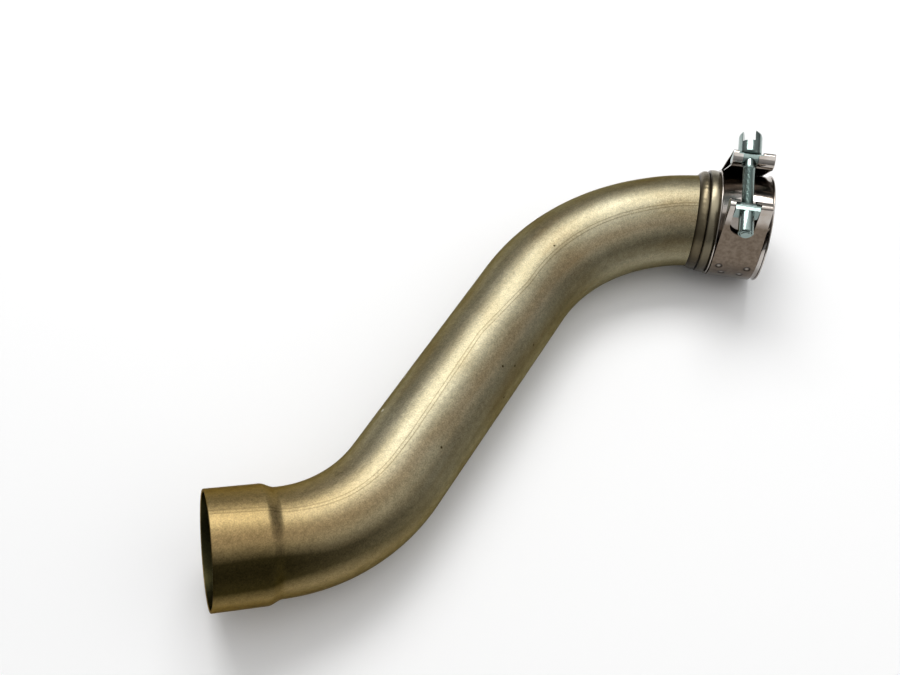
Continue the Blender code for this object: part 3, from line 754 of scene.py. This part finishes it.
def tube_mesh():
    """Sweeps the wall's outside, inside and rim along the centre line, as one closed sheet.

    The outer radius falls from the socket's to the tube's by half a cosine wave over the
    taper, where the rows are closest.  The three runs of rows stand a millimetre apart, and
    soot with painted shade is stored for the inside rows.
    """
    socket = np.linspace(RIM_SOFT, SOCKET_LENGTH - 1, SOCKET_ROWS)
    taper = np.linspace(SOCKET_LENGTH, BELL + 2, TAPER_ROWS)
    run = np.concatenate((socket, taper, np.linspace(BELL + 3, TAIL_START, TUBE_ROWS)))
    share = np.clip((run - SOCKET_LENGTH) / SOCKET_TAPER, 0, 1)
    outer = TUBE_RADIUS + (SOCKET_RADIUS - TUBE_RADIUS) * (1 + np.cos(np.pi * share)) / 2
    inner = outer - TUBE_WALL
    around = np.linspace(-np.pi, np.pi, TUBE_COLUMNS)
    outside, inside = wall_rows(run, outer, around), wall_rows(run, inner, around)
    rim = rim_rows(inner[0], outer[0], around)
    s, r, angle = (np.vstack((a, b[::-1], c)) for a, b, c in zip(outside, inside, rim))
    uv = np.stack((s, angle * TUBE_RADIUS), axis=-1) / 1000.0
    points = place(on_pipe(s, r, angle))[:, :-1]
    mesh = grid_mesh("tube_wall", points, True, uv)
    # soot with painted shade, full on the inside rows
    bore_darkening = np.zeros(points.shape[:2])
    bore_darkening[len(outside[0]) + 1 : len(outside[0]) + len(inside[0])] = 1.0
    store(mesh, "soot", bore_darkening)
    return mesh


class BuildTube(bpy.types.Operator):
    """Sweeps the tube's wall along its centre line and mitres its outlet end"""

    bl_idname = "link_pipe.tube"
    bl_label = "Tube"

    def execute(self, context):
        add_piece("tube_wall", tube_mesh(), tinted_stainless(settings()), "pipe_tube", 50.0)
        return {"FINISHED"}


def weld_mesh(pitch):
    """Turns the bead's section about the collar's axis, from the tube's skin to the collar.

    Each section starts on the tube's skin, swells to the collar's radius and dips behind.
    The skin's radius about the collar's axis solves a quadratic: a point on the ray is one
    tube radius from the tube's own axis.  The swell is a power of a sine, and the ripples are
    a cosine of the angle, bowed forward in the middle of the bead.
    """
    across = np.linspace(0, 1, WELD_ROWS)[:, None]
    angle = np.linspace(-np.pi, np.pi, WELD_COLUMNS, endpoint=False)
    ray = np.stack((0 * angle, np.sin(angle), np.cos(angle)), axis=-1) @ OUTLET_FRAME.T
    ahead = TUBE_END_FRAME[:, 0]
    start = OUTLET - JOINT
    start = start - (start @ ahead) * ahead
    flat = ray - (ray @ ahead)[:, None] * ahead
    dot, size = flat @ start, (flat**2).sum(axis=1)
    skin = (-dot + np.sqrt(dot**2 - size * (start @ start - (TUBE_RADIUS - WELD_SINK) ** 2))) / size
    lean = WELD_LEAN * (across - 0.5) ** 2
    ripple = np.cos(2 * np.pi * (angle * TUBE_RADIUS / pitch + 2 * lean))
    swell = np.sin(WELD_SWELL * across) ** WELD_FULLNESS
    radius = skin + (COLLAR_RADIUS + WELD_OVER - skin) * swell * (1 + WELD_RIPPLE * ripple * swell)
    along = (WELD_WIDTH + WELD_OVER) * across + 0 * radius
    radius = np.vstack((radius, skin[None] - WELD_SINK))
    along = np.vstack((along, along[-1:]))
    points = OUTLET + along[..., None] * OUTLET_FRAME[:, 0] + radius[..., None] * ray
    return grid_mesh("weld_ripples", place(points), True)


class BuildWeld(bpy.types.Operator):
    """Lays the rippled bead between the tube and the collar"""

    bl_idname = "link_pipe.weld"
    bl_label = "Weld"

    def execute(self, context):
        mesh = weld_mesh(settings().ripple_pitch * 1000)
        # painted shade in the weld's grooves and under the outlet
        mark_painted_shade(mesh)
        # Stainless weld metal, as it froze: ripples that break the light, and a dull olive tint
        metal = plain_metal("tig_weld_metal", settings().weld_tone, 0.33, 0.3, 250.0, 0.3)
        add_piece("weld_ripples", mesh, metal, "weld_bead", 60.0)
        return {"FINISHED"}


class BuildCollar(bpy.types.Operator):
    """Smooths the outlet collar"""

    bl_idname = "link_pipe.collar"
    bl_label = "Collar"

    def execute(self, context):
        # Stainless sleeve, pressed and satin finished: soft broad highlights, yellowed by heat
        satin = plain_metal("satin_stainless", settings().collar_tone, 0.32, 0.15, 900.0, 0.2)
        made = smooth_copy("outlet_collar", "collar_sleeve", satin)
        # painted shade in the collar's groove and under the outlet
        mark_painted_shade(made.data)
        return {"FINISHED"}


def arc(centre, radius, start, end, count):
    """Points of an arc in the clamp's (Y, Z) plane, with both ends."""
    turns = np.radians(np.linspace(start, end, count))
    return np.array(centre) + radius * np.stack((np.cos(turns), np.sin(turns)), axis=1)


def strap_lines():
    """Angles at which the ramp and the folded tab touch the ring and the loop."""
    loop = np.array((LOOP_SPREAD, BOLT_HEIGHT))
    loop_radius = PIN_RADIUS + SEAT + STRAP_SHEET / 2
    corner = loop + np.array((PIN_FLAT - CORNER_BACK, loop_radius - CORNER_RADIUS))
    away = math.degrees(math.atan2(corner[1], corner[0]))
    rise = away - math.degrees(math.acos((STRAP_RADIUS - CORNER_RADIUS) / np.linalg.norm(corner)))
    away = math.degrees(math.atan2(loop[1], loop[0]))
    tab = away - math.degrees(math.acos((STRAP_RADIUS + loop_radius) / np.linalg.norm(loop)))
    return loop, loop_radius, corner, rise, tab


def strap_path():
    """Middle line of the folded sheet in the clamp's (Y, Z) plane, with its half width.

    Half of it is the ring, the straight ramp, the turn over the pin, the loop and the tab
    that lies back on the ring.  The other half is its mirror image.
    """
    loop, loop_radius, corner, rise, tab = strap_lines()
    ring = arc((0, 0), STRAP_RADIUS, -90, rise, RING_ROWS)
    foot = arc(corner, CORNER_RADIUS, rise, 90, FOOT_ROWS)
    slope_share = np.linspace(0, 1, SLOPE_ROWS)[1:-1, None]
    slope = ring[-1] + (foot[0] - ring[-1]) * slope_share
    eye = arc(loop, loop_radius, 90, 180 + tab, EYE_ROWS)
    folded = arc((0, 0), STRAP_RADIUS, tab, RETURN_END, TAB_ROWS)[1:]
    half = np.vstack((ring, slope, foot, eye, folded))
    width = np.full(len(half), LOOP_WIDTH / 2)
    width[: len(ring)] = STRAP_WIDTH / 2
    width[len(ring) : len(ring) + len(slope)] += (STRAP_WIDTH - LOOP_WIDTH) / 2 * (1 - slope_share[:, 0])
    path = np.vstack((half[:0:-1] * (-1, 1), half))
    return path, np.concatenate((width[:0:-1], width))


def strap_section():
    """The sheet's section: shares of the half width, push of its soft edges, and height."""
    wide = np.linspace(-1, 1, STRAP_COLUMNS)
    right = np.radians((60, 30, -30, -60))
    left = np.radians((240, 210, 150, 120))
    back = wide[::-5]
    core = np.concatenate((wide, np.ones(4), back, -np.ones(4)))
    push = np.concatenate((0 * wide, np.cos(right), 0 * back, np.cos(left))) * STRAP_SOFT
    face = STRAP_SHEET / 2
    right_lift, left_lift = (
        (face - STRAP_SOFT) * np.sign(np.sin(side)) + STRAP_SOFT * np.sin(side) for side in (right, left)
    )
    lift = np.concatenate((0 * wide + face, right_lift, 0 * back - face, left_lift))
    return core, push, lift


def spot_places(away):
    """Points over the spot welds, at a distance from the clamp's axis."""
    places = []
    for side in (1, -1):
        for level, spacing in SPOTS:
            turned = math.radians(level)
            y, z = side * away * math.cos(turned), away * math.sin(turned)
            places += [(STRAP_MIDDLE - spacing, y, z), (STRAP_MIDDLE + spacing, y, z)]
    return np.array(places)


def press_spots(points):
    """Pushes the sheet's outer face clear of a ball at each spot weld."""
    ball = (SPOT_RADIUS**2 + SPOT_DEPTH**2) / (2 * SPOT_DEPTH)
    for middle in spot_places(STRAP_RADIUS + STRAP_SHEET / 2 + ball - SPOT_DEPTH):
        gap = points - middle
        far = np.linalg.norm(gap, axis=-1, keepdims=True)
        points = points + np.maximum(ball - far, 0) * gap / far
    return points


def mark_strap(mesh):
    """Stores the dark rings of the spots, and how much darker the strap is painted.

    A ring is a bell curve about the spot's rim.  The strap is painted darker away from its
    loops, except at the heart of each spot.
    """
    points = to_clamp(mesh)
    ring, heart = np.zeros(len(points)), np.zeros(len(points))
    for middle in spot_places(STRAP_RADIUS + STRAP_SHEET / 2):
        away = np.linalg.norm(points - middle, axis=1)
        ring = np.maximum(ring, np.exp(-(((away - SPOT_RING_RADIUS) / SPOT_RING_WIDTH) ** 2)))
        heart = np.maximum(heart, SPOT_HEART_SHARE * np.exp(-((away / SPOT_HEART_WIDTH) ** 2)))
    loop = np.array((LOOP_SPREAD, BOLT_HEIGHT))
    away = np.linalg.norm(np.stack((np.abs(points[:, 1]), points[:, 2]), axis=1) - loop, axis=1)
    store(mesh, "spot_ring", ring)
    store(mesh, "dulled", np.clip((away - DARKEN_FROM) / DARKEN_FADE, 0, 1) * (1 - heart))


def keyhole(width, depth, at, tilt, side):
    """A slot cutter: round at its foot, straight above, run outwards and tilted about X."""
    foot = np.radians(np.linspace(0, -180, 25))
    outline = width / 2 * np.stack((np.cos(foot), np.sin(foot)), axis=1)
    outline = np.vstack(((width / 2, SLOT_TALL), outline, (-width / 2, SLOT_TALL)))
    points = prism(outline, 0.0, depth)[..., (0, 2, 1)] + np.array(at)
    points = points @ turn("X", tilt).T
    return grid_mesh("slot", in_clamp(points * (1, side, 1)))


def strap_cutters():
    """Both slots of both loops: a narrow one in the crown and a wide one down the ramp."""
    loop, loop_radius, _, rise, _ = strap_lines()
    outer = loop_radius + STRAP_SHEET
    middle = STRAP_MIDDLE + BOLT_OFFSET
    level = loop[1] * math.cos(math.radians(rise)) - loop[0] * math.sin(math.radians(rise))
    crown = (middle, loop[0] + PIN_FLAT - outer - PAST, loop[1])
    ramp_at = (middle, STRAP_RADIUS - SLOT_INSIDE, level - SLOT_REACH + WIDE_SLOT / 2)
    cutters = []
    for side in (1, -1):
        cutters.append(keyhole(NARROW_SLOT, outer + PAST, crown, 0.0, side))
        cutters.append(keyhole(WIDE_SLOT, SLOT_INSIDE + PAST, ramp_at, rise, side))
    return cutters


def strap_mesh():
    """Carries the sheet's section along its folded path, presses the spots and cuts the slots."""
    path, half_width = strap_path()
    ahead = np.gradient(path, axis=0)
    ahead /= np.linalg.norm(ahead, axis=1)[:, None]
    out = np.stack((ahead[:, 1], -ahead[:, 0]), axis=1)
    core, push, lift = strap_section()
    x = STRAP_MIDDLE + core * (half_width[:, None] - STRAP_SOFT) + push
    yz = path[:, None] + lift[None, :, None] * out[:, None]
    points = press_spots(np.concatenate((x[..., None], yz), axis=-1))
    mesh = cut_away(grid_mesh("strap_blank", in_clamp(points)), strap_cutters())
    mark_strap(mesh)
    return mesh


def liner_mesh():
    """Turns the liner's section about the clamp's axis, leaving the split away from the bolt.

    The section is a flat band with a half-round rolled edge at each side.  Each of its points
    starts and ends where a plane half the split from the axis meets its radius.
    """
    low, high = LINER_START, LINER_START + LINER_WIDTH
    floor = LINER_RADIUS + LINER_SHEET
    roll = LINER_EDGE / 2
    top = floor + LINER_EDGE - roll
    round_edge = np.radians(np.linspace(0, 180, 11))
    near = np.stack((low + roll + roll * np.cos(round_edge), top + roll * np.sin(round_edge)), axis=1)
    far = np.stack((high - roll + roll * np.cos(round_edge), top + roll * np.sin(round_edge)), axis=1)
    inner = LINER_RADIUS
    soft = LINER_SOFT
    left, right = low + LINER_EDGE, high - LINER_EDGE
    outside = ((right - soft, floor), (left + soft, floor), (left, floor + soft))
    inside = ((low, inner + soft), (low + soft, inner), (high - soft, inner), (high, inner + soft))
    section = np.vstack((outside, near, inside, far, ((right, floor + soft),)))
    along, radius = section.T
    split = np.arcsin(LINER_GAP / 2 / radius)
    share = np.linspace(0, 1, LINER_ROWS)[:, None]
    angle = -np.pi / 2 + split + share * 2 * (np.pi - split)
    points = np.stack((along + 0 * angle, radius * np.cos(angle), radius * np.sin(angle)), axis=-1)
    return grid_mesh("liner_band", in_clamp(points))


class BuildClamp(bpy.types.Operator):
    """Makes the liner and the folded strap, and smooths the trunnions"""

    bl_idname = "link_pipe.clamp"
    bl_label = "Band clamp"

    def execute(self, context):
        mirror = polished_band(settings().band_tone)
        # Half-round steel pins, zinc plated after cutting: as the bolt's, a little duller
        zinc = plain_metal("zinc_plated_pins", settings().zinc_tone, 0.2)
        add_piece("liner_band", liner_mesh(), mirror, "clamp_liner", 55.0)
        add_piece("strap_band", strap_mesh(), mirror, "clamp_strap", 40.0)
        smooth_copy("trunnion_head_side", "pin_head_side", zinc)
        smooth_copy("trunnion_nut_side", "pin_nut_side", zinc)
        return {"FINISHED"}


def bolt_mesh(pitch):
    """Turns the head's profile and a threaded shank about the bolt's axis, and slots the head.

    The shank's radius falls from the crest by a blunt zigzag of (height over pitch plus
    turn), which is a helix, and the zigzag fades into the plain part below the head.
    """
    seat = LOOP_SPREAD + PIN_FLAT + SEAT
    top = seat + HEAD_HEIGHT
    tip = -seat - NUT_LENGTH - BOLT_TIP
    crown = np.radians(np.linspace(90, 0, 14))
    head_r = HEAD_RADIUS - HEAD_SHOULDER + HEAD_SHOULDER * np.cos(crown)
    head_z = top - HEAD_SHOULDER + HEAD_SHOULDER * np.sin(crown)
    head_r = np.concatenate((head_r, [HEAD_RADIUS, HEAD_RADIUS - BOLT_CHAMFER]))
    head_z = np.concatenate((head_z, [seat + BOLT_CHAMFER, seat]))
    shank_z = np.linspace(seat, tip, SHANK_ROWS)
    turns = np.linspace(0, 2 * np.pi, BOLT_COLUMNS)[:-1]
    wave = np.abs(2 * ((shank_z[:, None] / pitch + turns / (2 * np.pi)) % 1.0) - 1)
    wave = np.clip((wave - THREAD_FLAT) / (1 - 2 * THREAD_FLAT), 0, 1)
    plain = np.clip((shank_z[:, None] - seat + PLAIN_SHANK) / THREAD_RUNOUT, 0, 1)
    shank_r = BOLT_RADIUS - THREAD_CLEAR - THREAD_DEPTH * pitch * wave * (1 - plain)
    shank_r = np.minimum(shank_r, BOLT_RADIUS - BOLT_CHAMFER + (shank_z[:, None] - tip))
    radius = np.vstack((np.repeat(head_r[:, None], len(turns), axis=1), shank_r))
    height = np.concatenate((head_z, shank_z))[:, None] + 0 * radius
    points = np.stack((radius * np.cos(turns), radius * np.sin(turns), height), axis=-1)
    blank = grid_mesh("bolt_blank", in_clamp(on_bolt(points)))
    half, reach = HEAD_SLOT_WIDTH / 2, HEAD_RADIUS + PAST
    corners = ((-half, -reach), (half, -reach), (half, reach), (-half, reach))
    slot = prism(corners, top - HEAD_SLOT_DEPTH, top + PAST) @ turn("Z", HEAD_SLOT_TURN).T
    return cut_away(blank, [grid_mesh("bolt_slot", in_clamp(on_bolt(slot)))])


class BuildBolt(bpy.types.Operator):
    """Makes the threaded bolt and smooths its nut"""

    bl_idname = "link_pipe.bolt"
    bl_label = "Bolt and nut"

    def execute(self, context):
        # Steel, zinc plated and blue passivated: a smooth cold sheen with a blue-green cast
        zinc = plain_metal("zinc_plated_steel", settings().zinc_tone, 0.18, 0.15, 500.0)
        made = add_piece("bolt_body", bolt_mesh(settings().thread_pitch * 1000), zinc, "clamp_bolt")
        soften(made, BOLT_EDGE, BOLT_EDGE_ANGLE)
        smooth_copy("clamp_nut", "nut_sleeve", zinc)
        return {"FINISHED"}


def aim(made, look, up):
    """Turns a camera or lamp to look along a direction."""
    look, up = Vector(look).normalized(), Vector(up)
    side = look.cross(up).normalized()
    rows = Matrix((side, side.cross(look), -look)).transposed()
    made.rotation_euler = rows.to_euler()


def add_lamp(name, power):
    """A rectangular area lamp, aimed at the target from its azimuth and elevation."""
    azimuth, elevation, distance, width, height = LAMPS[name]
    lamp = bpy.data.lights.new(name, "AREA")
    lamp.shape = "RECTANGLE"
    lamp.size = width
    lamp.size_y = height
    lamp.energy = power
    made = bpy.data.objects.new(name, lamp)
    bpy.context.scene.collection.objects.link(made)
    a, e = math.radians(azimuth), math.radians(elevation)
    away = Vector((math.cos(e) * math.cos(a), math.cos(e) * math.sin(a), math.sin(e)))
    made.location = Vector(LAMP_TARGET) + away * distance
    aim(made, -away, (0, 0, 1))


def lay_floor(scene):
    """A sheet of white paper, a little below the piece so that no two faces share a plane.

    Uncoated paper is matt, so no reflection of the pipe shows on it, only soft shadow.
    """
    mesh = bpy.data.meshes.new("floor")
    signs = ((-1, -1), (1, -1), (1, 1), (-1, 1))
    mesh.from_pydata([(x * FLOOR_REACH, y * FLOOR_REACH, 0) for x, y in signs], [], [(0, 1, 2, 3)])
    paper, _, shader = new_material("white_paper")
    shader.inputs["Base Color"].default_value = linear("F6F6F6")
    shader.inputs["Roughness"].default_value = 0.9
    shader.inputs["Specular IOR Level"].default_value = 0.0
    mesh.materials.append(paper)
    floor = bpy.data.objects.new("floor", mesh)
    scene.collection.objects.link(floor)
    floor.location = (0, 0, -FLOOR_DROP)


def set_camera(scene):
    """The photograph's view, carried from the pipe's own frame."""
    camera = bpy.data.cameras.new("camera")
    camera.lens = CAMERA_LENS
    camera.sensor_width = CAMERA_SENSOR
    camera.clip_start = 0.01
    made = bpy.data.objects.new("camera", camera)
    scene.collection.objects.link(made)
    made.location = Vector(place(np.array(CAMERA_AT)))
    aim(made, LIE @ np.array(CAMERA_LOOK), LIE @ np.array(CAMERA_UP))
    scene.camera = made
    scene.view_settings.view_transform = "Standard"


def light_room(scene, level):
    """A plain room: brightest overhead and dimmer towards the horizon."""
    world = bpy.data.worlds.new("room")
    world.use_nodes = True
    scene.world = world
    tree = world.node_tree
    direction = add_node(tree, "TexCoord").outputs["Generated"]
    height = add_node(tree, "SeparateXYZ", {0: direction}).outputs[2]
    strength = spread(tree, height, 0.0, OVERHEAD, level * HORIZON_SHARE, level)
    back = tree.nodes["Background"]
    back.inputs["Color"].default_value = (1, 1, 1, 1)
    tree.links.new(strength, back.inputs["Strength"])


class BuildStudio(bpy.types.Operator):
    """Makes the floor, the lamps, the room's light and the camera"""

    bl_idname = "link_pipe.studio"
    bl_label = "Studio"

    def execute(self, context):
        lay_floor(context.scene)
        light_room(context.scene, settings().world_level)
        for name in LAMPS:
            add_lamp(name, getattr(settings(), name + "_power"))
        set_camera(context.scene)
        return {"FINISHED"}


class LinkPipePanel(bpy.types.Panel):
    """Lists the settings and the steps in the sidebar"""

    bl_idname = "VIEW3D_PT_link_pipe"
    bl_label = "Link pipe"
    bl_space_type = "VIEW_3D"
    bl_region_type = "UI"
    bl_category = "Link pipe"

    def draw(self, context):
        for name in LinkPipeSettings.__annotations__:
            self.layout.prop(settings(), name)
        for step in STEPS:
            self.layout.operator(step.bl_idname)


STEPS = (BuildTube, BuildWeld, BuildCollar, BuildClamp, BuildBolt, BuildStudio)
CLASSES = (LinkPipeSettings, *STEPS, LinkPipePanel)


def register():
    for made in CLASSES:
        bpy.utils.register_class(made)
    bpy.types.Scene.link_pipe = bpy.props.PointerProperty(type=LinkPipeSettings)


def unregister():
    del bpy.types.Scene.link_pipe
    for made in reversed(CLASSES):
        bpy.utils.unregister_class(made)


def main():
    register()
    for step in STEPS:
        group, name = step.bl_idname.split(".")
        getattr(getattr(bpy.ops, group), name)()
    bpy.context.view_layer.update()


if __name__ == "__main__":
    main()
